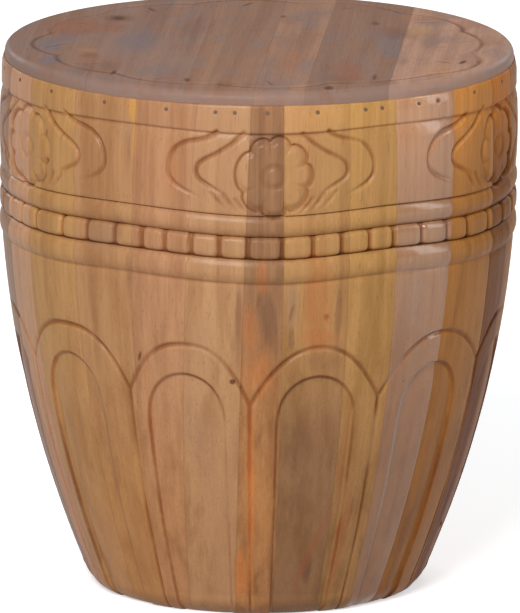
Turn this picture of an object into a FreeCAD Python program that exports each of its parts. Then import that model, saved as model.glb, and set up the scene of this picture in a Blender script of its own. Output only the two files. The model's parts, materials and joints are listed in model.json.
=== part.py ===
import FreeCAD
import Part
import math
import os
from FreeCAD import Vector

# Carved drum table: a ring of thick upright staves, glued edge to edge and turned to a drum.
# Its round top of edge-glued boards has a lip that covers the staves' ends, and a plug below
# the lip that fits into the ring and is nailed through it.
# Millimetres, +Z up, origin on the floor under the middle of the table.
# Angles are in degrees, 0 at the front (-Y) and growing towards the right (+X).

# Main sizes
height = 457.0
band_radius = 216.0           # widest point, the middle of the frieze
foot_radius = 130.0           # where the rounded foot meets the floor

# Bands of the staves from the top down, each with its own height
crown_round_height = 12.0     # the staves draw in a little towards their upper ends
crown_round_inset = 1.4
rim_band_height = 9.0         # plain upright band below that
rim_inset = 1.4
rim_groove_width = 4.0
rim_groove_depth = 2.0
frieze_height = 64.2
frieze_swell = 1.2            # how far the frieze's middle stands out from its edges
roll_height = 18.2
roll_swell = 3.5
bead_row_height = 19.4
bead_row_swell = 3.0
lower_roll_height = 20.2
lower_roll_swell = 3.3
body_step_height = 4.0        # slope from the groove under the rolls out to the body

# Body below the bands, one long curve down to a rounded foot
body_inset = 3.0
body_mid_height_share = 0.477
body_mid_radius_share = 0.6474
foot_round_height = 17.8
foot_round_inset = 15.5       # how far the foot rounds in from the body
foot_mid_height_share = 0.281
foot_mid_radius_share = 0.516

# Inside of the ring
rim_wall = 26.0               # thickness of a stave's upper end
seat_run = 4.0                # how far the straight seat goes on below the plug
body_wall = 34.0              # stave thickness at the middle of the body
foot_wall = 20.0              # flat ring that stands on the floor

# Round top
lip_thickness = 11.0          # part of the top that lies on the staves
lip_setback = 1.7             # how far its edge stays back from the staves' outer edge
lip_round = 2.5
plug_depth = 17.0             # part of the top that reaches down into the ring
plug_fit = 0.3                # gap between the plug and the staves
board_turn = 4.0              # degrees that the boards lean from front to back

# Nails, driven in from the side, one or two to a stave
nail_drop = 17.0              # below the top's face
nail_length = 36.0
nail_shank_radius = 1.1
nail_head_radius = 1.5
nail_head_thickness = 1.2
nail_point_length = 3.0
nail_sink = 0.8               # head below the rim's face
nail_seam_gap = 0.4           # least wood between a nail and a seam of the top's boards

cut_overrun = 5.0

# Widths of the staves as shares of the circle, from the first seam to the right, with the
# first seam's own place, and how far each stave's left seam leans by the foot, in degrees
first_seam_share = -0.1706
stave_width_shares = (
    16.7, 16.7, 14.4, 11.9, 7.3, 14.7, 11.4, 16.9, 15.2,
    12.5, 15.6, 13.2, 16.1, 11.0, 14.8, 12.4, 16.4, 13.7,
    14.9, 10.6, 15.3, 13.0, 16.2, 12.2, 14.5, 12.4,
)
seam_lean_angles = (
    -3.0, -0.6, -4.0, -9.6, -5.2, 0.4, 1.4, 2.2, -3.4,
    2.6, -1.0, 1.6, -2.2, 0.8, 3.0, -1.4, 0.6, -2.6,
    1.8, -0.8, 2.4, -1.8, 0.6, 2.8, -1.2, -2.0,
)

# Nails in each stave, and their places across it as shares of its width
stave_nail_counts = (
    1, 1, 1, 2, 1, 1, 2, 2, 1,
    1, 2, 1, 2, 1, 1, 1, 2, 1,
    2, 1, 2, 1, 1, 2, 1, 1,
)
one_nail_shares = (0.5,)
two_nail_shares = (0.34, 0.7)

# Seams of the top's boards, as shares of the top's radius from the middle, left to right
board_seam_shares = (-0.62, -0.222, 0.047, 0.2435, 0.56)

# Heights worked out from the top down
stave_top = height - lip_thickness
plug_bottom = stave_top - plug_depth
seat_bottom = plug_bottom - seat_run
rim_band_top = stave_top - crown_round_height
groove_top = rim_band_top - rim_band_height
frieze_top = groove_top - rim_groove_width
roll_top = frieze_top - frieze_height
bead_row_top = roll_top - roll_height
lower_roll_top = bead_row_top - bead_row_height
body_step_top = lower_roll_top - lower_roll_height
body_top = body_step_top - body_step_height

# Radii worked out from the driving ones
rim_radius = band_radius - rim_inset
crown_radius = rim_radius - crown_round_inset
frieze_edge_radius = band_radius - frieze_swell
quirk_radius = band_radius - roll_swell
body_top_radius = band_radius - body_inset
foot_round_radius = foot_radius + foot_round_inset
body_mid_height = foot_round_height + (body_top - foot_round_height) * body_mid_height_share
body_mid_radius = (foot_round_radius
                   + (body_top_radius - foot_round_radius) * body_mid_radius_share)
hole_radius = crown_radius - rim_wall
plug_radius = hole_radius - plug_fit
top_radius = crown_radius - lip_setback
hollow_mid_radius = body_mid_radius - body_wall
hollow_foot_radius = foot_radius - foot_wall


def at(radius, level):
    """A point of the profile, on the plane that the drum is turned from."""
    return Vector(radius, 0, level)


def line(start, end):
    return Part.LineSegment(start, end).toShape()


def arc(start, middle, end):
    return Part.Arc(start, middle, end).toShape()


def half_way(start, end, swell):
    """The top of an arc that stands out by swell between two points of the profile."""
    return at((start.x + end.x) / 2 + swell, (start.z + end.z) / 2)


def crown_edges():
    """The staves' upper end: an arc that runs on into the upright rim."""
    drop = crown_round_height
    inset = crown_round_inset
    arc_radius = (inset ** 2 + drop ** 2) / (2 * inset)
    half_angle = math.asin(drop / arc_radius) / 2
    middle = at(rim_radius - arc_radius * (1 - math.cos(half_angle)),
                rim_band_top + arc_radius * math.sin(half_angle))
    crown = at(crown_radius, stave_top)
    rim_top = at(rim_radius, rim_band_top)
    return [arc(crown, middle, rim_top)]


def band_edges():
    """Rim, groove, frieze, upper roll, bead row and lower roll, from the top down."""
    rim_low = at(rim_radius, groove_top)
    groove = at(rim_radius - rim_groove_depth, groove_top - rim_groove_width / 2)
    frieze_high = at(frieze_edge_radius, frieze_top)
    frieze_low = at(frieze_edge_radius, roll_top)
    roll_high = at(quirk_radius, roll_top)
    bead_high = at(quirk_radius, bead_row_top)
    lower_high = at(quirk_radius, lower_roll_top)
    step_high = at(quirk_radius, body_step_top)
    return [
        line(at(rim_radius, rim_band_top), rim_low),
        line(rim_low, groove),
        line(groove, frieze_high),
        arc(frieze_high, half_way(frieze_high, frieze_low, frieze_swell), frieze_low),
        line(frieze_low, roll_high),
        arc(roll_high, half_way(roll_high, bead_high, roll_swell), bead_high),
        arc(bead_high, half_way(bead_high, lower_high, bead_row_swell), lower_high),
        arc(lower_high, half_way(lower_high, step_high, lower_roll_swell), step_high),
        line(step_high, at(body_top_radius, body_top)),
    ]


def body_edges():
    """The long curve of the body and the rounded foot."""
    body_high = at(body_top_radius, body_top)
    body_low = at(foot_round_radius, foot_round_height)
    foot_middle = at(foot_radius + foot_round_inset * foot_mid_radius_share,
                     foot_round_height * foot_mid_height_share)
    return [
        arc(body_high, at(body_mid_radius, body_mid_height), body_low),
        arc(body_low, foot_middle, at(foot_radius, 0)),
    ]


def inside_edges():
    """From the foot up the hollow, then up the straight seat of the top's plug."""
    hollow_foot = at(hollow_foot_radius, 0)
    hollow_mid = at(hollow_mid_radius, body_mid_height)
    seat_low = at(hole_radius, seat_bottom)
    mouth = at(hole_radius, stave_top)
    return [
        line(at(foot_radius, 0), hollow_foot),
        arc(hollow_foot, hollow_mid, seat_low),
        line(seat_low, mouth),
        line(mouth, at(crown_radius, stave_top)),
    ]


def turned_ring():
    """The whole ring of staves as it comes off the lathe."""
    edges = crown_edges() + band_edges() + body_edges() + inside_edges()
    profile = Part.Face(Part.Wire(Part.__sortEdges__(edges)))
    return profile.revolve(Vector(0, 0, 0), Vector(0, 0, 1), 360)


def direction(angle):
    """Level direction at an angle from the front."""
    turn = math.radians(angle)
    return Vector(math.sin(turn), -math.cos(turn), 0)


def seam_angles():
    """Angle of each seam at the crown, in order, ending one full turn after the first."""
    total = sum(stave_width_shares)
    angles = [360 * first_seam_share]
    for width in stave_width_shares:
        angles.append(angles[-1] + 360 * width / total)
    return angles


def seam_corners(crown_angle, lean):
    """Four corners of one flat seam: foot near, foot far, crown far and crown near the axis.

    The seam's plane passes through its ends on the drum's face and through the middle
    of the drum's axis."""
    middle = Vector(0, 0, stave_top / 2)
    crown_end = direction(crown_angle) * crown_radius + Vector(0, 0, stave_top)
    foot_end = direction(crown_angle + lean) * foot_radius
    normal = (crown_end - middle).cross(foot_end - middle).normalize()
    along = normal.cross(Vector(0, 0, 1)).normalize()
    if along.dot(direction(crown_angle)) < 0:
        along = along * -1
    near = hollow_foot_radius * 3 / 4
    far = band_radius + cut_overrun
    corners = []
    for level, reach in ((-cut_overrun, near), (-cut_overrun, far),
                         (stave_top + cut_overrun, far), (stave_top + cut_overrun, near)):
        level_normal = Vector(normal.x, normal.y, 0)
        offset = -normal.z * (level - stave_top / 2) / level_normal.Length
        start = level_normal.normalize() * offset
        corners.append(start + along * reach + Vector(0, 0, level))
    return corners


def polygon_face(points):
    return Part.Face(Part.makePolygon(list(points) + [points[0]]))


def wedge(left, right):
    """Block between two seams, from inside the hollow to outside the drum."""
    faces = [
        polygon_face(left),
        polygon_face(right),
        polygon_face((left[0], left[1], right[1], right[0])),
        polygon_face((left[3], left[2], right[2], right[3])),
        polygon_face((left[0], right[0], right[3])),
        polygon_face((left[0], right[3], left[3])),
        polygon_face((left[1], right[1], right[2])),
        polygon_face((left[1], right[2], left[2])),
    ]
    block = Part.Solid(Part.Shell(faces))
    if block.Volume < 0:
        block.reverse()
    return block


def clear_of_seams(angle):
    """The nearest angle at which a nail lies in one board of the top only."""
    turn = math.radians(angle + board_turn)
    across = abs(math.sin(turn))
    side = 1 if math.sin(turn) > 0 else -1
    tip_radius = rim_radius - nail_sink - nail_length
    shank_end_radius = tip_radius + nail_point_length
    shank_room = nail_shank_radius + nail_seam_gap
    for share in board_seam_shares:
        seam = top_radius * share * side
        inner = (seam - shank_room) / plug_radius
        outer = max((seam + nail_seam_gap) / tip_radius, (seam + shank_room) / shank_end_radius)
        if inner < across < outer:
            nearest = outer if outer - across < across - inner else inner
            shift = math.degrees(math.asin(nearest) - math.asin(across))
            return angle + shift * side if math.cos(turn) > 0 else angle - shift * side
    return angle


def nail_angles():
    """Angles of all the nails around the rim."""
    seams = seam_angles()
    angles = []
    for number, left in enumerate(seams[:-1]):
        right = seams[number + 1]
        shares = two_nail_shares if stave_nail_counts[number] == 2 else one_nail_shares
        for share in shares:
            angles.append(clear_of_seams(left + (right - left) * share))
    return angles


def nail(angle):
    """One nail: head, shank and point, lying along a radius."""
    inward = direction(angle) * -1
    head_face = (direction(angle) * (rim_radius - nail_sink)
                 + Vector(0, 0, height - nail_drop))
    shank_start = head_face + inward * nail_head_thickness
    shank_length = nail_length - nail_head_thickness - nail_point_length
    head = Part.makeCylinder(nail_head_radius, nail_head_thickness, head_face, inward)
    shank = Part.makeCylinder(nail_shank_radius, shank_length, shank_start, inward)
    point = Part.makeCone(nail_shank_radius, 0, nail_point_length,
                          shank_start + inward * shank_length, inward)
    return head.fuse([shank, point]).removeSplitter()


def nail_hole(angle):
    """The nail's own shape and the open dimple over its sunk head."""
    head_face = (direction(angle) * (rim_radius - nail_sink)
                 + Vector(0, 0, height - nail_drop))
    dimple = Part.makeCylinder(nail_head_radius, nail_sink + cut_overrun,
                               head_face, direction(angle))
    return nail(angle).fuse(dimple)


def between(angle, left, right):
    """Whether a nail's angle lies in a stave or close beside it."""
    margin = math.degrees(nail_head_radius / rim_radius)
    return left - margin < angle < right + margin


def staves():
    """Cut the turned ring along its seams and drill it for the nails."""
    ring = turned_ring()
    angles = seam_angles()
    leans = seam_lean_angles + seam_lean_angles[:1]
    corners = [seam_corners(angle, lean) for angle, lean in zip(angles, leans)]
    pieces = {}
    for number in range(len(stave_width_shares)):
        stave = ring.common(wedge(corners[number], corners[number + 1]))
        holes = [nail_hole(angle) for angle in nail_angles()
                 if between(angle, angles[number], angles[number + 1])]
        if holes:
            stave = stave.cut(holes)
        pieces[f"stave_{number + 1:02d}"] = stave
    return pieces


def turned_top():
    """The round top in one piece: face, soft upper edge, lip and plug."""
    round_middle = lip_round * math.cos(math.radians(45))
    face = at(top_radius - lip_round, height)
    edge = at(top_radius, height - lip_round)
    corner = at(top_radius - lip_round + round_middle, height - lip_round + round_middle)
    points = [edge, at(top_radius, stave_top), at(plug_radius, stave_top),
              at(plug_radius, plug_bottom), at(0, plug_bottom), at(0, height), face]
    edges = [line(start, end) for start, end in zip(points, points[1:])]
    profile = Part.Face(Part.Wire(Part.__sortEdges__(edges + [arc(face, corner, edge)])))
    return profile.revolve(Vector(0, 0, 0), Vector(0, 0, 1), 360)


def top_boards():
    """Cut the round top into boards, turned a little from front to back."""
    disc = turned_top()
    reach = top_radius + cut_overrun
    edges = [-reach] + [top_radius * share for share in board_seam_shares] + [reach]
    holes = [nail_hole(angle) for angle in nail_angles()]
    pieces = {}
    for number, left in enumerate(edges[:-1]):
        width = edges[number + 1] - left
        strip = Part.makeBox(width, 2 * reach, height - plug_bottom + 2 * cut_overrun,
                             Vector(left, -reach, plug_bottom - cut_overrun))
        strip.rotate(Vector(0, 0, 0), Vector(0, 0, 1), -board_turn)
        board = disc.common(strip).cut(holes)
        pieces[f"top_board_{number + 1}"] = board
    return pieces


def write(name, shape):
    shape.exportStep(f"parts/{name}.step")
    print(name, "volume", round(shape.Volume), "solids", len(shape.Solids),
          "valid", shape.isValid())


def main():
    os.makedirs("parts", exist_ok=True)
    for name, shape in {**staves(), **top_boards()}.items():
        write(name, shape)
    write("top_nails", Part.makeCompound([nail(angle) for angle in nail_angles()]))


main()
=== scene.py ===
import bmesh
import bpy
import json
import math
import random
import numpy as np
from mathutils import Matrix, Vector


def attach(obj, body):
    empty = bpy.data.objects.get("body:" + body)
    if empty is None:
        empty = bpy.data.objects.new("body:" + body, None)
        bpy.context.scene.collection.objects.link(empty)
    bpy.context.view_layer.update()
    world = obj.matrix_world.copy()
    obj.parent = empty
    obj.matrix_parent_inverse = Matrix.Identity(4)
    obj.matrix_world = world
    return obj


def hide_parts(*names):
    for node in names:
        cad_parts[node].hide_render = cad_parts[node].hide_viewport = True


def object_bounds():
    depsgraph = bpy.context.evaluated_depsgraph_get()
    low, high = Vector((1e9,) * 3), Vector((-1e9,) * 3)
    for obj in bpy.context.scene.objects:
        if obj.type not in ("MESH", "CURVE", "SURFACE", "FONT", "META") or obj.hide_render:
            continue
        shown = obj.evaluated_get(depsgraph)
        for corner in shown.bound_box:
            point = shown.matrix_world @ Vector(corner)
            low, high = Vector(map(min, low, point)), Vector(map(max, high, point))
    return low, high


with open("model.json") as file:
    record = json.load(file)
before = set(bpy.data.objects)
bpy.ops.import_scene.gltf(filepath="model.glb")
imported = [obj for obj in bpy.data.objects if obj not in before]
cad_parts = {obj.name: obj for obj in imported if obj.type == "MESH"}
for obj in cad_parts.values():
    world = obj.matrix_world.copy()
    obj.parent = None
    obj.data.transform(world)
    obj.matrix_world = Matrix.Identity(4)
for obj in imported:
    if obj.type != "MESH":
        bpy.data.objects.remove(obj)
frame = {"nodes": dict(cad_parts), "record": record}
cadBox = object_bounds()
mm = 0.001
touching = 1e-6              # metres; points closer than this are one


# Node trees: sockets that work in sums, and one way to add any other node

class Sock:
    def __init__(self, maker, socket):
        self.maker = maker
        self.socket = socket

    def calc(self, operation, *others):
        values = (self,) + others
        kind = "ShaderNodeMath"
        for value in values:
            if isinstance(value, tuple) or (isinstance(value, Sock) and value.socket.type != "VALUE"):
                kind = "ShaderNodeVectorMath"
        return self.maker.node(kind, {"operation": operation}, dict(enumerate(values)))

    def __add__(self, other): return self.calc("ADD", other)
    def __radd__(self, other): return self.calc("ADD", other)
    def __sub__(self, other): return self.calc("SUBTRACT", other)
    def __rsub__(self, other): return (self * -1) + other
    def __mul__(self, other): return self.calc("MULTIPLY", other)
    def __rmul__(self, other): return self.calc("MULTIPLY", other)
    def __truediv__(self, other): return self.calc("DIVIDE", other)

    def scaled(self, factor):
        return self.maker.node("ShaderNodeVectorMath", {"operation": "SCALE"}, {0: self, "Scale": factor})

    def higher(self, other): return self.calc("MAXIMUM", other)
    def power(self, other): return self.calc("POWER", other)

    def ease(self, low, high, start=0.0, end=1.0):       # smooth step from start to end
        return self.maker.node("ShaderNodeMapRange", {"interpolation_type": "SMOOTHSTEP"},
                               {"Value": self, "From Min": low, "From Max": high,
                                "To Min": start, "To Max": end})

    def part(self, index):                               # one number of a vector
        return self.maker.node("ShaderNodeSeparateXYZ", {}, {0: self}, index)


class Maker:
    def __init__(self, tree):
        self.tree = tree

    def feed(self, socket, value):
        if isinstance(value, Sock):
            self.tree.links.new(value.socket, socket)
        elif isinstance(value, tuple) and socket.type == "RGBA" and len(value) == 3:
            socket.default_value = value + (1.0,)
        else:
            socket.default_value = value

    def node(self, kind, settings=None, inputs=None, out=0):
        made = self.tree.nodes.new(kind)
        for name, value in (settings or {}).items():
            if name == "stops":
                setStops(made.color_ramp, value)
            else:
                setattr(made, name, value)
        for key, value in (inputs or {}).items():
            self.feed(made.inputs[key], value)
        return Sock(self, made.outputs[out])

    def mix(self, factor, low, high, blend="MIX"):       # colours
        settings = {"data_type": "RGBA", "blend_type": blend}
        return self.node("ShaderNodeMix", settings, {0: factor, 6: low, 7: high}, 2)

    def vector(self, x, y, z):
        return self.node("ShaderNodeCombineXYZ", {}, {0: x, 1: y, 2: z})

    def noise(self, place, scale, detail=2.0, rough=0.5, twist=0.0):
        return self.node("ShaderNodeTexNoise", {"noise_dimensions": "3D"},
                         {"Vector": place, "Scale": scale, "Detail": detail,
                          "Roughness": rough, "Distortion": twist})


def setStops(ramp, stops):
    while len(ramp.elements) > 1:
        ramp.elements.remove(ramp.elements[-1])
    ramp.elements[0].position, ramp.elements[0].color = stops[0][0], stops[0][1] + (1.0,)
    for place, colour in stops[1:]:
        ramp.elements.new(place).color = colour + (1.0,)


def startTree(name, inputs):
    tree = bpy.data.node_groups.new(name, "GeometryNodeTree")
    tree.is_modifier = True
    kinds = {float: "NodeSocketFloat", int: "NodeSocketInt", object: "NodeSocketObject",
             bpy.types.Material: "NodeSocketMaterial"}
    tree.interface.new_socket("Geometry", in_out="INPUT", socket_type="NodeSocketGeometry")
    for label, kind in inputs.items():
        tree.interface.new_socket(label, in_out="INPUT", socket_type=kinds[kind])
    tree.interface.new_socket("Geometry", in_out="OUTPUT", socket_type="NodeSocketGeometry")
    maker = Maker(tree)
    start = tree.nodes.new("NodeGroupInput")
    return maker, {socket.name: Sock(maker, socket) for socket in start.outputs if socket.name}


def endTree(maker, geometry, material):
    realized = maker.node("GeometryNodeRealizeInstances", {}, {0: geometry})
    finished = maker.node("GeometryNodeSetMaterial", {}, {0: realized, "Material": material})
    end = maker.tree.nodes.new("NodeGroupOutput")
    maker.tree.links.new(finished.socket, end.inputs[0])
    return maker.tree


def runTree(piece, tree, values):
    modifier = piece.modifiers.new(tree.name, "NODES")
    modifier.node_group = tree
    for item in tree.interface.items_tree:
        if item.in_out == "INPUT" and item.name in values:
            modifier[item.identifier] = values[item.name]
    graph = bpy.context.evaluated_depsgraph_get()
    graph.update()
    mesh = bpy.data.meshes.new_from_object(piece.evaluated_get(graph), preserve_all_data_layers=True,
                                           depsgraph=graph)
    piece.modifiers.clear()
    piece.data = mesh
    return piece


# Camera, floor and light

view = {
    "distance": 12.0,        # a long lens from far off, so the drum keeps its even width
    "elevation": 12.2,       # degrees above level
    "widthInFrame": 0.4337,  # metres across the picture at the drum
    "aimRight": 0.0022,
    "aimUp": 0.0039,
    "lean": 0.44,            # degrees that the drum leans right in the picture
    "sensorWidth": 36.0, "farEnd": 60.0,
}


def placeCamera():
    data = bpy.data.cameras.new("photoView")
    data.sensor_fit = "HORIZONTAL"
    data.sensor_width = view["sensorWidth"]
    data.lens = view["sensorWidth"] * view["distance"] / view["widthInFrame"]
    data.clip_end = view["farEnd"]
    camera = bpy.data.objects.new("photoView", data)
    bpy.context.scene.collection.objects.link(camera)
    tilt = math.radians(view["elevation"])
    back = Vector((0, -math.cos(tilt), math.sin(tilt)))
    up = Vector((0, math.sin(tilt), math.cos(tilt)))
    middle = Vector((view["aimRight"], 0, (cadBox[1][2] + cadBox[0][2]) / 2)) + up * view["aimUp"]
    camera.matrix_world = (Matrix.Translation(middle + back * view["distance"])
                           @ Matrix.Rotation(math.pi / 2 - tilt, 4, "X")
                           @ Matrix.Rotation(math.radians(view["lean"]), 4, "Z"))
    bpy.context.scene.camera = camera


studio = {
    "floorColour": (0.9, 0.9, 0.89),         # as the camera sees it
    "floorBounce": (0.42, 0.37, 0.31),       # as the drum's light sees it, like a wooden floor
    "floorGlow": 0.5, "floorRoughness": 0.9, "floorSize": 40.0,
    "worldColour": (0.98, 0.975, 0.97), "worldStrength": 0.22,
    "aimHeight": 0.25,
    # place, width and height, power, colour
    "lights": {
        "key": ((-0.85, -3.3, 2.4), (1.6, 1.6), 156.0, (0.98, 0.975, 0.985)),
        "window": ((2.9, -0.35, 1.25), (0.7, 2.1), 24.0, (0.92, 0.96, 1.0)),
        "back": ((0.8, 4.5, 4.5), (2.0, 2.0), 46.0, (0.92, 0.95, 1.0)),
        "left": ((-2.3, 3.6, 1.6), (1.2, 1.2), 34.0, (0.93, 0.96, 1.0)),
        "right": ((2.3, 3.7, 1.6), (1.2, 1.2), 28.0, (0.97, 0.98, 1.0)),
    },
}


def areaLight(name, place, size, power, colour):
    data = bpy.data.lights.new(name, "AREA")
    data.shape = "RECTANGLE"
    data.size, data.size_y = size
    data.energy = power
    data.color = colour
    light = bpy.data.objects.new(name, data)
    bpy.context.scene.collection.objects.link(light)
    middle = Vector((0, 0, studio["aimHeight"]))
    light.location = place
    light.rotation_euler = (middle - Vector(place)).to_track_quat("-Z", "Y").to_euler()


def paleFloor():
    material = bpy.data.materials.new("paleFloor")
    material.use_nodes = True
    maker = Maker(material.node_tree)
    surface = material.node_tree.nodes["Principled BSDF"]
    camera = maker.node("ShaderNodeLightPath", {}, {}, "Is Camera Ray")
    glossy = maker.node("ShaderNodeLightPath", {}, {}, "Is Glossy Ray")
    seen = camera.higher(glossy)
    maker.feed(surface.inputs["Base Color"], maker.mix(seen, studio["floorBounce"], studio["floorColour"]))
    maker.feed(surface.inputs["Emission Color"], maker.mix(seen, (0.0, 0.0, 0.0), (1.0, 1.0, 1.0)))
    maker.feed(surface.inputs["Emission Strength"], studio["floorGlow"])
    maker.feed(surface.inputs["Roughness"], studio["floorRoughness"])
    return material


def setUpStudio():
    for name, (place, size, power, colour) in studio["lights"].items():
        areaLight(name + "Light", place, size, power, colour)
    world = bpy.data.worlds.new("studioWorld")
    world.use_nodes = True
    world.node_tree.nodes["Background"].inputs[0].default_value = studio["worldColour"] + (1.0,)
    world.node_tree.nodes["Background"].inputs[1].default_value = studio["worldStrength"]
    bpy.context.scene.world = world
    half = studio["floorSize"] / 2
    mesh = bpy.data.meshes.new("studioFloor")
    mesh.from_pydata([(-half, -half, 0), (half, -half, 0), (half, half, 0), (-half, half, 0)], [],
                     [(0, 1, 2, 3)])
    floor = bpy.data.objects.new("studioFloor", mesh)
    bpy.context.scene.collection.objects.link(floor)
    mesh.materials.append(paleFloor())


# The turned drum: its outline, from the mouth of the ring over the outside to the hollow

drum = {
    "height": 0.457, "staveTop": 0.446, "bandRadius": 0.216, "rimRadius": 0.2146,
    "crownRadius": 0.2132, "crownMiddle": (0.21425, 0.44004), "crownEase": (0.0008, 0.0007),
    "holeRadius": 0.1872, "quirkRadius": 0.2125, "friezeEdge": 0.2148, "bodyTopRadius": 0.213,
    "crownLow": 0.434, "rimLow": 0.425, "friezeTop": 0.421, "friezeLow": 0.3568,
    "rollLow": 0.3386, "beadLow": 0.3192, "lowerRollLow": 0.299, "bodyTop": 0.295,
    "bodyMid": (0.1892, 0.15), "footTop": (0.1455, 0.0178), "footMid": (0.138, 0.005),
    "footRadius": 0.13, "hollowFoot": 0.11, "hollowMid": (0.1552, 0.15), "seatLow": 0.425,
    "grooveDepth": 0.0018, "grooveFall": 0.002, "quirkFall": 0.0006,
    "friezeRound": (0.011, 0.0013),          # how far down and how much the frieze's upper edge is eased
    "rollSwell": 0.0034, "beadSwell": 0.003, "lowerRollSwell": 0.0032,
    "rollSquareness": 2.3,   # outline of the rolls and of the bead row, 2 is a plain bow
    "beadSquareness": 4.0,
    # where dark wax and painted shade gather in the creases between the bands: height, how far it spreads,
    # how much
    "creases": ((0.4232, 0.0032, 0.62), (0.3566, 0.003, 0.55), (0.3386, 0.0026, 0.7),
                (0.3192, 0.0026, 0.7), (0.299, 0.003, 0.6)),
    "spanAcross": 0.00105,   # metres between columns of points
    "plankRadius": 0.2,      # the wood's grain is measured out from here
    "carvedLow": 0.172, "carvedTop": 0.256,  # the body has more rows of points here
    # the carver's lines rise and dip around the drum: degrees from the front, metres
    "wave": ((-180, 0.0004), (-150, -0.0012), (-120, 0.0013), (-90, -0.0008), (-60, -0.0004),
             (-32, 0.0022), (3, -0.0024), (31, 0.0021), (58, -0.0007), (90, 0.0011),
             (120, -0.0012), (150, 0.001), (180, 0.0004)),
    # how much of the wave there is at a height
    "waveShares": ((0.2, 0.0), (0.245, 0.3), (0.297, 1.0), (0.357, 1.0), (0.423, 0.7), (0.446, 0.0)),
}


def between(table, x):                   # smooth steps from one entry to the next
    if x <= table[0][0]:
        return table[0][1]
    for (x0, y0), (x1, y1) in zip(table, table[1:]):
        if x <= x1:
            share = (x - x0) / (x1 - x0)
            return y0 + (y1 - y0) * (share * share * (3 - 2 * share))
    return table[-1][1]


def waveAt(angle, level):                # angle in radians
    turn = (math.degrees(angle) + 180) % 360 - 180
    share = between(drum["waveShares"], level)
    return between(drum["wave"], turn) * share


def arcPoints(start, middle, end, step):
    (ax, ay), (bx, by), (cx, cy) = start, middle, end
    d = 2 * (ax * (by - cy) + bx * (cy - ay) + cx * (ay - by))
    a2, b2, c2 = ax * ax + ay * ay, bx * bx + by * by, cx * cx + cy * cy
    ux = (a2 * (by - cy) + b2 * (cy - ay) + c2 * (ay - by)) / d
    uy = (a2 * (cx - bx) + b2 * (ax - cx) + c2 * (bx - ax)) / d
    radius = math.hypot(ax - ux, ay - uy)
    first = math.atan2(ay - uy, ax - ux)
    last = math.atan2(cy - uy, cx - ux)
    turn = (last - first + math.pi) % (2 * math.pi) - math.pi
    count = max(2, round(abs(turn) * radius / step))
    return [(ux + radius * math.cos(first + turn * i / count),
             uy + radius * math.sin(first + turn * i / count)) for i in range(count + 1)]


def linePoints(start, end, step):
    count = max(1, round(math.hypot(end[0] - start[0], end[1] - start[1]) / step))
    return [(start[0] + (end[0] - start[0]) * i / count,
             start[1] + (end[1] - start[1]) * i / count) for i in range(count + 1)]


def swellPoints(top, bottom, radius, swell, squareness, step):   # a roll, or the bead row
    count = round((top - bottom) / step)
    points = []
    for i in range(count + 1):
        share = math.sin((-1 + 2 * i / count) * math.pi / 2)     # closer together near the ends
        points.append((radius + swell * (1 - abs(share) ** squareness),
                       top + (bottom - top) * (share + 1) / 2))
    return points


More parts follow.
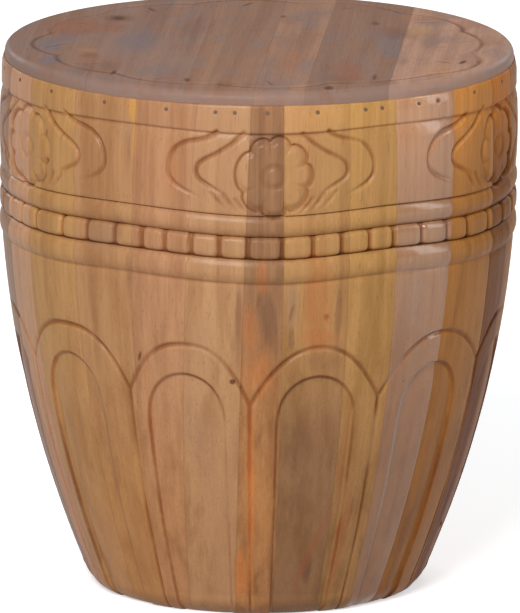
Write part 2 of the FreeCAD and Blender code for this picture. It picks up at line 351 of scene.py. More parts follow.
def drumRows():                          # radius, height, kind and how much of a crease it is
    d = drum
    quirk = d["quirkRadius"]
    body = arcPoints((d["bodyTopRadius"], d["bodyTop"]), d["bodyMid"], d["footTop"], 0.0011)
    thinned = []
    for i, (radius, level) in enumerate(body):                   # fewer rows where little is carved
        gap = 1 if d["carvedLow"] < level < d["carvedTop"] else 3
        if i % gap == 0 or i == len(body) - 1:
            thinned.append((radius, level))
    easeIn, easeDown = d["crownEase"]
    crown = (d["crownRadius"], d["staveTop"] - easeDown)
    crownEdge = (d["crownRadius"] - easeIn, d["staveTop"])
    rimTop, rimLow = (d["rimRadius"], d["crownLow"]), (d["rimRadius"], d["rimLow"])
    groove = (d["rimRadius"] - d["grooveDepth"], d["rimLow"] - d["grooveFall"])
    reach, ease = d["friezeRound"]
    friezeTop, friezeLow = (d["friezeEdge"], d["friezeTop"]), (d["friezeEdge"], d["friezeLow"])
    easedTop = (d["friezeEdge"] - ease, d["friezeTop"])
    friezeMid = (d["bandRadius"], (d["friezeTop"] + d["friezeLow"]) / 2)
    rollTop, rollLow, beadLow = d["friezeLow"] - d["quirkFall"], d["rollLow"], d["beadLow"]
    stepFoot = (d["bodyTopRadius"], d["bodyTop"])
    seat, mouth = (d["holeRadius"], d["seatLow"]), (d["holeRadius"], d["staveTop"])
    flat, hollow = (d["footRadius"], 0), (d["hollowFoot"], 0)
    squareness = d["rollSquareness"]
    stretches = [                        # each ends with the distance between its rows
        ("end", linePoints(mouth, crownEdge, 0.006)),
        ("face", linePoints(crownEdge, crown, 0.0005)),
        ("face", arcPoints(crown, d["crownMiddle"], rimTop, 0.0011)),
        ("face", linePoints(rimTop, rimLow, 0.0011)),
        ("face", linePoints(rimLow, groove, 0.0008)),
        ("face", linePoints(groove, easedTop, 0.0006)),
        ("face", arcPoints(friezeTop, friezeMid, friezeLow, 0.00105)[1:]),
        ("face", linePoints(friezeLow, (quirk, rollTop), 0.0009)),
        ("face", swellPoints(rollTop, rollLow, quirk, d["rollSwell"], squareness, 0.001)),
        ("bead", swellPoints(rollLow, beadLow, quirk, d["beadSwell"], d["beadSquareness"], 0.0009)),
        ("face", swellPoints(beadLow, d["lowerRollLow"], quirk, d["lowerRollSwell"], squareness, 0.001)),
        ("face", linePoints((quirk, d["lowerRollLow"]), stepFoot, 0.0012)),
        ("face", thinned),
        ("face", arcPoints(d["footTop"], d["footMid"], flat, 0.002)),
        ("end", linePoints(flat, hollow, 0.005)),
        ("inside", arcPoints(hollow, d["hollowMid"], seat, 0.024)),
        ("inside", linePoints(seat, mouth, 0.011)),
    ]
    rows = []
    for kind, points in stretches:
        for radius, level in points:
            if rows and math.hypot(rows[-1][0] - radius, rows[-1][1] - level) < touching:
                continue
            crease = 0.0
            if d["friezeTop"] - reach < level < d["friezeTop"]:
                radius -= ease * (1 - (d["friezeTop"] - level) / reach) ** 2
            if kind in ("face", "bead"):
                crease = max(much * max(0.0, 1 - abs(level - at) / wide) for at, wide, much in d["creases"])
            rows.append((radius, level, kind, crease))
    rows.pop()                                                   # the last row is the first again
    return rows


# Staves: widths going right from the first seam, and how many degrees each left seam leans by the foot

staves = {
    "firstSeam": -0.1706 * 360,              # degrees from the front
    "widths": (16.7, 16.7, 14.4, 11.9, 7.3, 14.7, 11.4, 16.9, 15.2, 12.5, 15.6, 13.2, 16.1,
               11.0, 14.8, 12.4, 16.4, 13.7, 14.9, 10.6, 15.3, 13.0, 16.2, 12.2, 14.5, 12.4),
    "leans": (-3.0, -0.6, -4.0, -9.6, -5.2, 0.4, 1.4, 2.2, -3.4, 2.6, -1.0, 1.6, -2.2,
              0.8, 3.0, -1.4, 0.6, -2.6, 1.8, -0.8, 2.4, -1.8, 0.6, 2.8, -1.2, -2.0),
    "timberShift": (0.37, 0.23, 0.61),       # each stave shows its own part of the timber
}


def seamAngles():
    angles = [staves["firstSeam"]]
    for width in staves["widths"]:
        angles.append(angles[-1] + 360 * width / sum(staves["widths"]))
    return angles


def wayRound(angle):                     # metres round the drum from the front, angle in degrees
    return math.radians(angle) * drum["bandRadius"]


def pointAt(angle, radius, level):       # angle in radians, 0 at the front, growing to the right
    return Vector((radius * math.sin(angle), -radius * math.cos(angle), level))


def seamPlane(angle, lean):              # through both ends of the seam and the middle of the axis
    middle = Vector((0, 0, drum["staveTop"] / 2))
    crown = pointAt(math.radians(angle), drum["crownRadius"], drum["staveTop"])
    foot = pointAt(math.radians(angle + lean), drum["footRadius"], 0)
    return (crown - middle).cross(foot - middle).normalized()


def seamAngleAt(plane, angle, radius, level):
    flat = math.hypot(plane.x, plane.y)
    lift = -plane.z * (level - drum["staveTop"] / 2) / (radius * flat)
    base = math.atan2(plane.y, plane.x)
    first = base + math.asin(lift)
    second = base + math.pi - math.asin(lift)
    aim = math.radians(angle)
    options = [first, second]
    turns = [(o - aim + math.pi) % (2 * math.pi) - math.pi for o in options]
    return aim + min(turns, key=abs)


def setAttribute(mesh, name, kind, values):
    layer = mesh.attributes.new(name, kind, "POINT")
    layer.data.foreach_set("value" if kind == "FLOAT" else "vector", np.ravel(values))


# Marks in the wood that show from afar: degrees from the front, height, half width and half height in
# metres, lean, strength
staveMarks = {
    "orange": ((1.0, 0.305, 0.0055, 0.016, 0.0, 0.95), (-1.4, 0.26, 0.008, 0.024, -0.05, 0.85),
               (0.3, 0.22, 0.015, 0.024, 0.0, 0.6), (13.5, 0.287, 0.015, 0.04, 0.05, 0.62),
               (14.3, 0.25, 0.018, 0.01, 0.0, 0.85), (16.5, 0.282, 0.004, 0.034, 0.0, 0.7),
               (-1.5, 0.108, 0.005, 0.1, 0.0, 0.85), (16.9, 0.062, 0.0055, 0.044, 0.42, 0.8),
               (25.4, 0.065, 0.006, 0.05, 0.05, 0.8), (-4.7, 0.038, 0.009, 0.024, 0.0, 0.8),
               (22.5, 0.15, 0.005, 0.05, 0.05, 0.6), (12.0, 0.32, 0.014, 0.008, 0.0, 0.6),
               (-20.0, 0.39, 0.012, 0.03, 0.0, 0.45), (-27.0, 0.19, 0.006, 0.05, 0.0, 0.5),
               (15.7, 0.268, 0.0036, 0.0036, 0.0, 1.5)),
    # the shade mark at -59.8 degrees darkens the left wall of the first sunk panel: dark wax and painted
    # shade
    "shade": ((2.8, 0.268, 0.0055, 0.026, -0.14, 1.2), (-59.8, 0.085, 0.0026, 0.08, 0.0, 1.2),
              (-4.1, 0.272, 0.003, 0.034, 0.0, 0.8), (0.6, 0.29, 0.0017, 0.015, 0.26, 1.0),
              (18.4, 0.268, 0.0035, 0.03, 0.0, 0.8), (7.9, 0.251, 0.003, 0.012, 0.0, 0.8),
              (7.7, 0.274, 0.0016, 0.008, 0.25, 0.8), (3.2, 0.405, 0.011, 0.04, 0.0, 0.45),
              (16.1, 0.044, 0.006, 0.016, 0.0, 0.9), (15.7, 0.268, 0.0022, 0.0024, 0.0, 1.3),
              (4.6, 0.05, 0.004, 0.034, 0.0, 0.75), (3.8, 0.16, 0.0045, 0.03, 0.0, 0.6),
              (11.0, 0.145, 0.02, 0.06, 0.1, 0.4), (15.8, 0.23, 0.016, 0.01, 0.0, 0.45),
              (-29.7, 0.3, 0.004, 0.022, 0.0, 0.6), (-32.0, 0.335, 0.006, 0.014, 0.0, 0.6),
              (-30.0, 0.4, 0.004, 0.02, 0.0, 0.45), (33.4, 0.164, 0.004, 0.04, 0.1, 0.6),
              (27.0, 0.098, 0.0022, 0.026, 0.05, 0.7), (46.0, 0.1, 0.008, 0.08, 0.05, 0.35)),
    "grey": ((38.1, 0.16, 0.008, 0.09, 0.06, 0.75), (38.5, 0.27, 0.015, 0.035, 0.0, 0.6),
             (-75.0, 0.3, 0.012, 0.12, 0.0, 0.6), (8.2, 0.28, 0.007, 0.03, 0.0, 0.55),
             (35.4, 0.083, 0.008, 0.04, 0.05, 0.7), (-16.0, 0.165, 0.012, 0.03, 0.0, 0.4),
             (-36.0, 0.326, 0.02, 0.014, 0.0, 0.5), (-31.0, 0.417, 0.01, 0.012, 0.0, 0.5)),
    "yellow": ((-28.8, 0.436, 0.004, 0.014, 0.0, 0.75), (14.0, 0.436, 0.024, 0.01, 0.0, 0.45),
               (-28.4, 0.41, 0.003, 0.016, 0.0, 0.5)),
    "knot": ((-5.7, 0.2126, 0.0026, 0.0023, 0.0, 1.0), (-28.1, 0.2285, 0.0017, 0.0045, 0.3, 0.8),
             (-48.5, 0.3379, 0.0022, 0.0016, 0.0, 0.9), (-54.0, 0.4055, 0.0013, 0.0026, 0.0, 0.7),
             (15.7, 0.268, 0.0024, 0.0028, 0.0, 0.5), (-54.3, 0.3817, 0.0013, 0.0026, 0.0, 0.7),
             (37.0, 0.205, 0.0014, 0.0014, 0.0, 0.55), (139.0, 0.15, 0.003, 0.0042, 0.0, 0.9),
             (-118.0, 0.24, 0.0026, 0.0036, 0.0, 0.8), (96.0, 0.09, 0.0022, 0.003, 0.0, 0.8)),
    # where the carved lines run out or are rubbed soft
    "faint": ((-39.0, 0.185, 0.01, 0.03, 0.0, 0.9), (-38.5, 0.105, 0.01, 0.075, 0.0, 0.9),
              (-31.7, 0.135, 0.006, 0.03, 0.0, 0.75), (-7.8, 0.135, 0.009, 0.085, 0.0, 0.55),
              (-7.8, 0.04, 0.009, 0.03, 0.0, 0.55), (-9.0, 0.233, 0.025, 0.014, 0.0, 0.45),
              (21.4, 0.145, 0.009, 0.07, 0.0, 0.45), (30.3, 0.15, 0.006, 0.024, 0.0, 0.75),
              (37.5, 0.14, 0.01, 0.085, 0.0, 0.65), (34.0, 0.222, 0.012, 0.016, 0.0, 0.85)),
}


def addMarks(mesh, place, shown, marks, unit):       # unit: metres for one step of a mark's first number
    for name, entries in marks.items():
        total = np.zeros(len(place))
        for start, level, wide, tall, lean, strength in entries:
            up = place[:, 1] - level
            across = place[:, 0] - start * unit - up * lean
            away = np.sqrt((across / wide) ** 2 + (up / tall) ** 2)
            total = np.maximum(total, strength * np.clip(1.5 - away, 0, 1))      # gone at 1.5 times its size
        setAttribute(mesh, name, "FLOAT", total * shown)


def staveBlank(number, rows, angles):
    leftAngle, rightAngle = angles[number], angles[number + 1]
    leans = staves["leans"] + staves["leans"][:1]
    leftPlane = seamPlane(leftAngle, leans[number])
    rightPlane = seamPlane(rightAngle, leans[number + 1])
    width = wayRound(rightAngle - leftAngle)
    columns = round(width / drum["spanAcross"])
    points, place, inward, plank, crease, edge, cut, bead = ([] for i in range(8))
    middle = math.radians(leftAngle + rightAngle) / 2
    for radius, level, kind, darkness in rows:
        left = seamAngleAt(leftPlane, leftAngle, radius, level)
        right = seamAngleAt(rightPlane, rightAngle, radius, level)
        shown = kind in ("face", "bead")
        for column in range(columns + 1):
            share = column / columns
            angle = left + (right - left) * share
            wrapped = (angle + math.pi) % (2 * math.pi) - math.pi
            lift = waveAt(angle, level) if shown else 0
            points.append(pointAt(angle, radius, level + lift))
            place.append((wrapped * drum["bandRadius"], level, 0))
            inward.append((-math.sin(angle), math.cos(angle), 0))
            plank.append(((angle - middle) * radius, radius - drum["plankRadius"], level))
            crease.append(darkness)
            edge.append(min(share, 1 - share) * (right - left) * radius)
            cut.append(1.0 if shown else 0.0)
            bead.append(1.0 if kind == "bead" else 0.0)
    across = columns + 1
    faces = []
    for i in range(len(rows)):
        low = i * across
        high = ((i + 1) % len(rows)) * across
        for j in range(columns):
            faces.append((low + j, high + j, high + j + 1, low + j + 1))
    faces.append(tuple(reversed([i * across for i in range(len(rows))])))
    faces.append(tuple(i * across + columns for i in range(len(rows))))
    mesh = bpy.data.meshes.new(f"carved_stave_{number + 1:02d}")
    mesh.from_pydata(points, [], faces)
    shift = np.array(staves["timberShift"]) * (number, number % 5, number % 7)
    setAttribute(mesh, "place", "FLOAT_VECTOR", place)
    setAttribute(mesh, "inward", "FLOAT_VECTOR", inward)
    setAttribute(mesh, "plank", "FLOAT_VECTOR", np.array(plank) + shift)
    for name, values in (("crease", crease), ("edge", edge), ("cut", cut), ("bead", bead)):
        setAttribute(mesh, name, "FLOAT", values)
    addMarks(mesh, np.array(place), np.array(cut), staveMarks, math.radians(drum["bandRadius"]))
    piece = bpy.data.objects.new(mesh.name, mesh)
    bpy.context.scene.collection.objects.link(piece)
    return piece


# Drawings of the carving, flat: x is the way round at the widest radius, y is the height

leafDrawing = {
    # degrees from the front, and how wide the petals, the leaves to the left and those to the right are
    "flowers": ((-177.6, 1.0, 1.02, 1.05), (-120.2, 1.03, 1.06, 1.0), (-63.0, 1.12, 1.0, 1.19),
                (3.5, 0.97, 1.045, 1.0), (67.5, 1.0, 1.19, 1.0), (125.0, 0.98, 1.0, 1.06),
                (182.4, 1.0, 1.02, 1.05)),
    "height": 0.3885,
    "petalTip": 0.0335, "petalNotch": 0.0293, "petalSquareness": 0.6, "button": 0.0088,
    "leafUnevenness": 0.04, "petalUnevenness": 5.0,                # share of the height, degrees
    "spurLine": ((0.0293, 0), (0.024, 0.001), (0.015, 0.0026)),    # radius, and how much shallower
    "frontNotches": (21.6, 61.7, 97, 133, 206, 248, 292, 341.5),   # degrees, in the front flower
    # millimetres from the flower's middle: across, up, and how much shallower the cut gets
    "outerLobe": ((46, 36, 0), (51, 32, 0), (58, 29, 0), (66, 27, 0), (73, 24.5, 0), (79.5, 19.5, 0),
                  (84, 12, 0), (85.5, 4, 0), (84.5, -3.5, 0), (80, -9.5, 0.4), (72.5, -14, 1.2),
                  (63, -18, 2.2), (54, -23, 3.4)),
    "innerLobe": ((24, 36, 0), (34, 26.5, 0), (46, 18, 0), (56, 12, 0), (61, 7, 0), (62, 1, 0),
                  (59, -4.5, 0.2), (52.5, -8.5, 0.8), (44, -13, 1.6), (36, -18, 2.8)),
    "veins": (((-52, -15, 1.4), (-47, -21, 1.2), (-41, -27, 2.2)),
              ((-42, -15, 1.4), (-37, -22, 1.2), (-31, -29, 2.2)),
              ((-32, -19, 1.6), (-27, -25, 1.2), (-22, -30, 2.2))),
}


def smoothPath(points, steps=6):         # a curve through all the points
    path = []
    points = [Vector(p) for p in points]
    ends = [points[0] * 2 - points[1]] + points + [points[-1] * 2 - points[-2]]
    for i in range(1, len(ends) - 2):
        a, b, c, d = ends[i - 1], ends[i], ends[i + 1], ends[i + 2]
        for s in range(steps):
            t = s / steps
            path.append(b + (c - a) * 0.5 * t + (a * 2 - b * 5 + c * 4 - d) * 0.5 * t * t
                        + (b * 3 - a - c * 3 + d) * 0.5 * t ** 3)
    path.append(points[-1])
    return path


class Drawing:
    def __init__(self, name):
        self.name = name
        self.points, self.edges, self.faces = [], [], []

    def line(self, path):
        first = len(self.points)
        self.points += [tuple(p) for p in path]
        self.edges += [(first + i, first + i + 1) for i in range(len(path) - 1)]

    def shape(self, path):
        first = len(self.points)
        self.points += [tuple(p) for p in path]
        self.faces.append(tuple(range(first, first + len(path))))

    def build(self):
        mesh = bpy.data.meshes.new(self.name)
        mesh.from_pydata(self.points, self.edges if not self.faces else [], self.faces)
        drawing = bpy.data.objects.new(self.name, mesh)
        bpy.context.scene.collection.objects.link(drawing)
        return drawing


def flowerNotches(angle, hand):
    if 0 < angle < 10:                   # the flower in front
        return leafDrawing["frontNotches"]
    turn = hand.uniform(0, 45)
    much = leafDrawing["petalUnevenness"]
    return [turn + 45 * i + hand.uniform(-much, much) for i in range(8)]


def flowerPath(notches):                 # once round the petals, bulging between the notches
    d = leafDrawing
    path = []
    for i, start in enumerate(notches):
        end = notches[i + 1] if i + 1 < len(notches) else notches[0] + 360
        for step in range(8):
            bulge = math.sin(math.pi * step / 8) ** d["petalSquareness"]
            radius = d["petalNotch"] + (d["petalTip"] - d["petalNotch"]) * bulge
            turn = math.radians(start + (end - start) * step / 8)
            path.append((radius * math.cos(turn), radius * math.sin(turn)))
    return path


def drawFlowers():
    d = leafDrawing
    hand = random.Random(11)
    petals = Drawing("petalDrawing")
    spurs = Drawing("spurDrawing")
    buttons = Drawing("buttonDrawing")
    ring = [2 * math.pi * i / 24 for i in range(24)]
    for angle, wide, leftReach, rightReach in d["flowers"]:
        x0 = wayRound(angle)
        notches = flowerNotches(angle, hand)
        petals.shape([(x0 + x * wide, d["height"] + y, 0) for x, y in flowerPath(notches)])
        for notch in notches:
            c, s = math.cos(math.radians(notch)), math.sin(math.radians(notch))
            spurs.line([(x0 + c * radius * wide, d["height"] + s * radius, lift)
                        for radius, lift in d["spurLine"]])
        buttons.shape([(x0 + d["button"] * math.cos(t) * wide, d["height"] + d["button"] * math.sin(t), 0)
                       for t in ring])
    return petals.build(), spurs.build(), buttons.build()


def drawLeaves():
    d = leafDrawing
    hand = random.Random(5)
    drawing = Drawing("leafDrawing")
    for angle, wide, leftReach, rightReach in d["flowers"]:
        x0 = wayRound(angle)
        for side, reach in ((1, rightReach), (-1, leftReach)):
            for name in ("outerLobe", "innerLobe"):
                tall = 1 + hand.uniform(-d["leafUnevenness"], d["leafUnevenness"])
                points = [(x0 + side * x * reach * mm, d["height"] + y * tall * mm, lift * mm)
                          for x, y, lift in d[name]]
                drawing.line(smoothPath(points))
            for vein in d["veins"]:
                drawing.line([(x0 + side * x * mm, d["height"] + y * mm, lift * mm) for x, y, lift in vein])
    return drawing.build()


beadRow = {
    # gaps that show from the front, in degrees; the hidden beads share out the rest of the ring
    "gaps": (-58.9, -49.0, -41.2, -33.5, -26.5, -21.0, -14.8, -8.5, -2.1, 5.4, 12.3, 18.9, 25.5, 31.5,
             39.2, 46.8, 53.8, 62.5),
    "hiddenBeads": 33,
    "unevenness": 0.12,
    "gapWidth": 0.001,
    "corner": 0.42,          # 1 is an ellipse, near 0 is a square
}


def beadGaps():
    hand = random.Random(23)
    gaps = list(beadRow["gaps"])
    left = gaps[0] + 360 - gaps[-1]
    widths = [1 + hand.uniform(-1, 1) * beadRow["unevenness"] for i in range(beadRow["hiddenBeads"])]
    angle = gaps[-1]
    for width in widths[:-1]:
        angle += left * width / sum(widths)
        gaps.append(angle)
    return [(g + 180) % 360 - 180 for g in gaps]


def drawBeads():
    drawing = Drawing("beadDrawing")
    gaps = sorted(beadGaps())
    gaps.append(gaps[0] + 360)
    middle = (drum["rollLow"] + drum["beadLow"]) / 2
    tall = (drum["rollLow"] - drum["beadLow"]) / 2 + beadRow["gapWidth"]
    for left, right in zip(gaps, gaps[1:]):
        for turn in (0, -360):
            x0 = wayRound(left + turn) + beadRow["gapWidth"] / 2
            x1 = wayRound(right + turn) - beadRow["gapWidth"] / 2
            path = []
            for i in range(32):                                  # a square with round corners
                t = 2 * math.pi * i / 32
                c, s = math.cos(t), math.sin(t)
                path.append(((x0 + x1) / 2 + (x1 - x0) / 2 * math.copysign(abs(c) ** beadRow["corner"], c),
                             middle + tall * math.copysign(abs(s) ** beadRow["corner"], s), 0))
            drawing.shape(path)
    return drawing.build()


archDrawing = {
    # where neighbouring arches meet, in degrees, and how high; the rest of the ring is even
    "valleys": ((-66.5, 0.206), (-31.7, 0.1985), (-1.6, 0.191), (30.3, 0.1945), (64.4, 0.209)),
    "peaks": (0.2461, 0.2424, 0.2415, 0.2424),
    "roundness": (2.7, 2.5, 2.1, 2.3),
    "panels": (-49.8, -17.3, 14.6, 46.3),    # the middles of the sunk panels, in degrees
    "hiddenArches": 8,
    "usualValley": 0.199, "usualPeak": 0.2425,
    "panelHalf": 10.0,       # degrees
    "innerDrop": 0.024,      # panel's peak below the arch's
    "innerSpring": 0.172, "innerSquareness": 0.85,
    # by hand, behind: degrees, millimetres, millimetres, degrees, and how round
    "valleyTurn": 0.5, "valleyLift": 3, "peakLift": 2, "panelTurn": 1, "roundnessSpan": (2.1, 2.7),
    "shallowSpan": (0.0002, 0.0016),         # metres less than an arch's depth
    "sideLevels": (0.14, 0.07, -0.01), "footShare": 0.97,    # the panel is narrower at the foot
    "jointDrop": 0.022, "jointLevels": (0.13, 0.07, -0.01),  # the line from a valley down to the foot
}


def archList():                          # left end, right end, peak, roundness and panel's middle
    d = archDrawing
    hand = random.Random(47)
    valleys = list(d["valleys"])
    peaks, rounds, middles = list(d["peaks"]), list(d["roundness"]), list(d["panels"])
    start, left, count = valleys[-1][0], valleys[0][0] + 360 - valleys[-1][0], d["hiddenArches"]
    turn, lift, peakLift, panelTurn = d["valleyTurn"], d["valleyLift"], d["peakLift"], d["panelTurn"]
    for i in range(1, count + 1):
        jitter = hand.uniform(-turn, turn) if i < count else 0
        level = d["usualValley"] + hand.uniform(-lift, lift) * mm if i < count else valleys[0][1]
        valleys.append((start + left * i / count + jitter, level))
        peaks.append(d["usualPeak"] + hand.uniform(-peakLift, peakLift) * mm)
        rounds.append(hand.uniform(*d["roundnessSpan"]))
        middles.append((valleys[-1][0] + valleys[-2][0]) / 2 + hand.uniform(-panelTurn, panelTurn))
    return [(valleys[i], valleys[i + 1], peaks[i], rounds[i], middles[i]) for i in range(len(valleys) - 1)]


def drawArches():
    d = archDrawing
    hand = random.Random(3)
    lines = Drawing("archDrawing")
    panels = Drawing("panelDrawing")
    for (leftAngle, leftLevel), (rightAngle, rightLevel), peak, roundness, middleAngle in archList():
        shallow = [hand.uniform(*d["shallowSpan"]) for i in range(4)]
        for turn in (0, -360):                                   # also where the drawing's ends overlap
            x0 = wayRound(leftAngle + turn)
            x1 = wayRound(rightAngle + turn)
            middle, half = (x0 + x1) / 2, (x1 - x0) / 2
            path = []
            for i in range(49):
                share = -1 + i / 24
                foot = leftLevel if share < 0 else rightLevel
                path.append((middle + half * share, peak - (peak - foot) * abs(share) ** roundness, 0))
            lines.line(path)
            levels = (leftLevel - d["jointDrop"],) + d["jointLevels"]
            lines.line([(x0, leftLevel, 0)] + [(x0, y, lift) for y, lift in zip(levels, shallow)])
            middle = wayRound(middleAngle + turn)
            wide = wayRound(d["panelHalf"])
            top = peak - d["innerDrop"]
            path = []
            for i in range(41):
                turnUp = math.pi * i / 40
                rise = math.sin(turnUp) ** d["innerSquareness"]
                path.append((middle + wide * math.cos(turnUp),
                             d["innerSpring"] + (top - d["innerSpring"]) * rise, 0))
            sides = list(zip((wide, wide, wide * d["footShare"]), d["sideLevels"]))
            panels.shape([(middle + x, y, 0) for x, y in reversed(sides)] + path
                         + [(middle - x, y, 0) for x, y in sides])
    return lines.build(), panels.build()


nails = {
    "dimpleRadius": 0.0016, "dimpleEdge": 0.0022, "headReach": 0.0018, "markHalf": 0.00001,
    "steel": (0.12, 0.07, 0.045), "rust": (0.2, 0.115, 0.07), "rustScale": 900.0,
    "metallic": 0.4, "roughness": 0.5, "rustRoughness": 0.3,
}


def drawNails():                         # one short mark over each nail head of the CAD model
    drawing = Drawing("nailDrawing")
    solid = frame["nodes"]["top_nails"]
    heads = {}
    for vertex in solid.data.vertices:
        x, y, level = solid.matrix_world @ vertex.co
        if math.hypot(x, y) > drum["rimRadius"] - nails["headReach"]:
            angle = math.atan2(x, -y)
            heads.setdefault(round(math.degrees(angle)), []).append((angle, level))
    groups = []
    for place in sorted(heads):
        if groups and place - groups[-1][0] <= 1:
            groups[-1] = (place, groups[-1][1] + heads[place])
        else:
            groups.append((place, heads[place]))
    for place, head in groups:
        x = sum(angle for angle, level in head) / len(head) * drum["bandRadius"]
        level = sum(level for angle, level in head) / len(head)
        drawing.line([(x - nails["markHalf"], level, 0), (x + nails["markHalf"], level, 0)])
    print("nails:", len(groups))
    return drawing.build()


carving = {
    "Leaf Depth": 0.0029, "Leaf Half Width": 0.003,
    "Petal Depth": 0.0026, "Petal Inner Width": 0.0065, "Petal Outer Width": 0.0018,
    "Spur Depth": 0.0016, "Spur Half Width": 0.0026,
    "Button Depth": 0.0013, "Button Width": 0.0045,
    "Gap Depth": 0.003, "Bead Edge": 0.0034,
    "Arch Depth": 0.0024, "Arch Half Width": 0.0032,
    "Panel Depth": 0.0028, "Panel Wall": 0.003, "Panel Rise": 0.0016, "Panel Middle": 0.024,
    "Nail Dimple": 0.0006,
    "Hand Unevenness": 0.0008,
    "Seam Round": 0.00012,
}
staveObjects = ("Leaf Lines", "Petals", "Spurs", "Buttons", "Beads", "Arch Lines", "Panels", "Nails")
carver = {
    # size of the unevenness (larger is finer), where it starts and ends, and what it runs between
    "pressure": (26.0, (0.32, 0.62, 0.55, 1.0)),
    "topPressure": (18.0, (0.3, 0.65, 0.25, 1.0)),
    "rubbing": (17.0, (0.36, 0.64, 0.35, 1.0)),      # where hands have rubbed the dark wax away, and where the painted shade in the creases is broken up with it
    "sway": 14.0, "topSway": 11.0, "ripple": 90.0, "rippleShare": 0.35,
    "gapSteepness": 1.6, "panelLine": 0.0012, "seamWidth": 0.0012,
    "faintWall": 1.3, "faintPanel": 0.4, "faintArch": 0.6, "faintWaxAndShade": 0.75,
    # how dark the wax and the painted shade get in each kind of line
    "leafWaxAndShade": 0.85, "petalWaxAndShade": 0.8, "spurWaxAndShade": 0.45, "buttonWaxAndShade": 0.3, "archWaxAndShade": 0.95, "panelWaxAndShade": 0.85,
    "topWaxAndShade": 0.95, "veinWaxAndShade": 1.1, "gapWaxAndShadeSteepness": 1.8, "archWaxAndShadeSteepness": 0.8,
    "innerLine": 0.7, "petalLine": 1.2,
}


def distanceTo(maker, target, place, element):
    shape = maker.node("GeometryNodeObjectInfo", {"transform_space": "ORIGINAL"}, {"Object": target},
                       "Geometry")
    return maker.node("GeometryNodeProximity", {"target_element": element},
                      {0: shape, "Sample Position": place}, "Distance")


def readAttribute(maker, name, kind="FLOAT"):
    return maker.node("GeometryNodeInputNamedAttribute", {"data_type": kind}, {"Name": name}, 0)


def near(maker, target, place, halfWidth):           # 1 on the line, 0 past its half width
    return 1 - (distanceTo(maker, target, place, "EDGES") / halfWidth).ease(0, 1)


def insideOf(maker, target, place):
    return distanceTo(maker, target, place, "FACES").calc("LESS_THAN", 10 * touching)


def pillow(maker, target, place, innerWidth, outerWidth):        # soft inside the shape, steep outside
    width = outerWidth + (innerWidth - outerWidth) * insideOf(maker, target, place)
    return near(maker, target, place, width)


def uneven(maker, position, name):
    scale, span = carver[name]
    return maker.noise(position, scale).ease(*span)


def easedSeam(maker, given):             # how far a piece's long edges are set back
    return given["Seam Round"] * (1 - (readAttribute(maker, "edge") / carver["seamWidth"]).ease(0, 1))


def store(maker, geometry, name, value):
    return maker.node("GeometryNodeStoreNamedAttribute", {"data_type": "FLOAT", "domain": "POINT"},
                      {"Geometry": geometry, "Name": name, "Value": value})


def startCarving(name, objects, sizes):
    names = {label: object for label in objects}
    names.update({label: float for label in sizes})
    names["Material"] = bpy.types.Material
    maker, given = startTree(name, names)
    place = readAttribute(maker, "place", "FLOAT_VECTOR")
    return maker, given, place, maker.node("GeometryNodeInputPosition"), readAttribute(maker, "cut")


